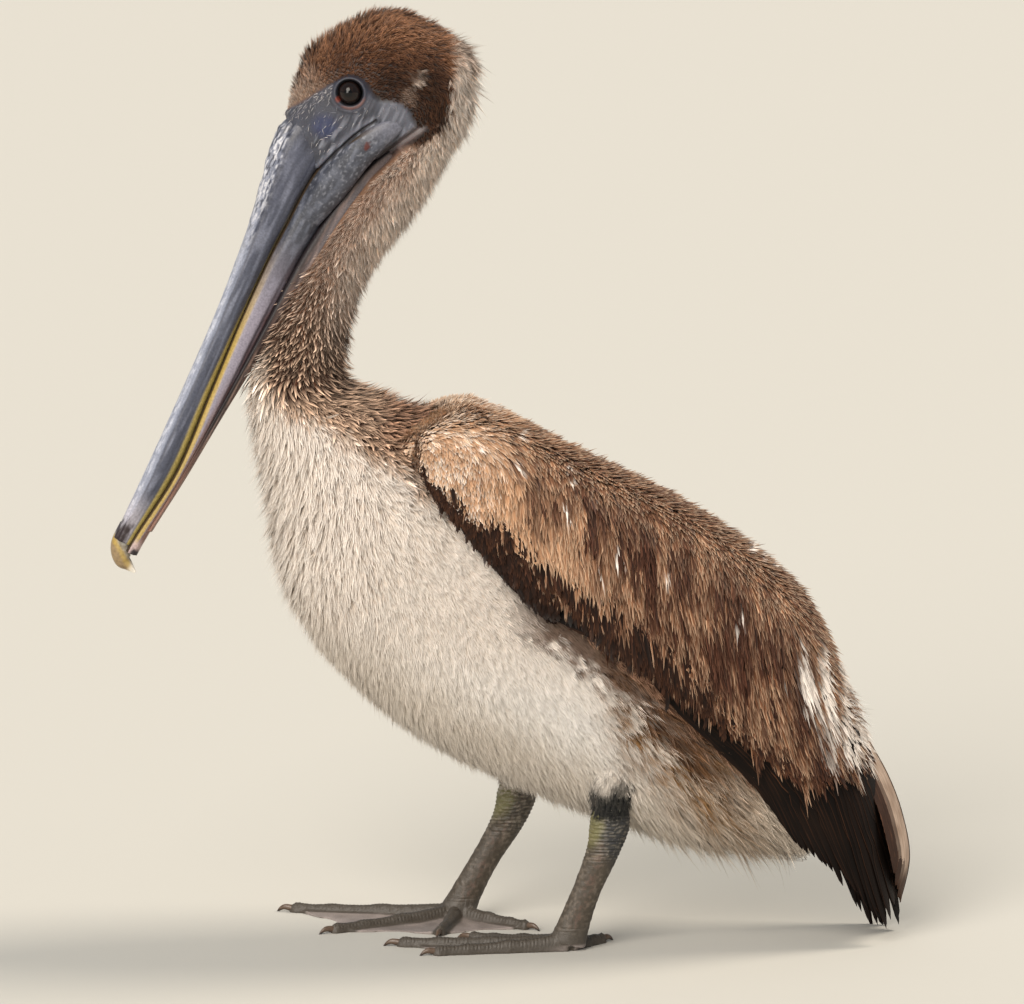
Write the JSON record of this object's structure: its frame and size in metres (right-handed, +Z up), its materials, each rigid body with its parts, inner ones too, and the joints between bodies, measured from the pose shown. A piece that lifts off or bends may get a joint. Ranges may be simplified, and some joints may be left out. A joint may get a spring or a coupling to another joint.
{
  "type": "brown pelican",
  "caption": "Life-size still model of a young brown pelican standing on webbed feet, wings folded and long bill held down along its neck.",
  "frame": {"origin": "on the floor, under the middle of the bounding box", "axes": "+X from the bill towards the tail, +Y towards the bird's right side, +Z up"},
  "size_m": [0.5502, 0.1988, 0.638],
  "materials": {
    "crown": "short bristly reddish brown feathers",
    "neck": "fine grizzled brown feathers with pale tips",
    "breast": "soft creamy white feathers in ragged tufts",
    "covert": "pointed brown feathers with buff edges",
    "flight": "stiff blackish brown flight feathers",
    "tail": "grey-brown tail feathers with buff edges",
    "bill": "slate grey horn with pale streaks and yellow cutting edges",
    "nail": "yellow horn with a white tip",
    "pouch": "folded purplish brown bare skin",
    "eye": "wet dark brown",
    "leg": "scaly grey-olive skin",
    "claw": "dark horn"
  },
  "bodies": {
    "root": {"head": "crown", "neck_upper": "neck", "neck_middle": "neck", "neck_lower": "neck", "bill_upper": "bill", "bill_nail": "nail", "bill_lower": "bill", "pouch": "pouch", "eye_left": "eye", "eye_right": "eye", "trunk": "breast", "mantle": "covert", "tail": "tail", "wing_left_coverts": "covert", "wing_left_secondaries": "flight", "wing_left_primaries": "flight", "wing_right_coverts": "covert", "wing_right_secondaries": "flight", "wing_right_primaries": "flight", "thigh_left": "breast", "shank_left": "leg", "foot_left": "leg", "claw_left_1": "claw", "claw_left_2": "claw", "claw_left_3": "claw", "claw_left_4": "claw", "thigh_right": "breast", "shank_right": "leg", "foot_right": "leg", "claw_right_1": "claw", "claw_right_2": "claw", "claw_right_3": "claw", "claw_right_4": "claw"}
  },
  "joints": []
}
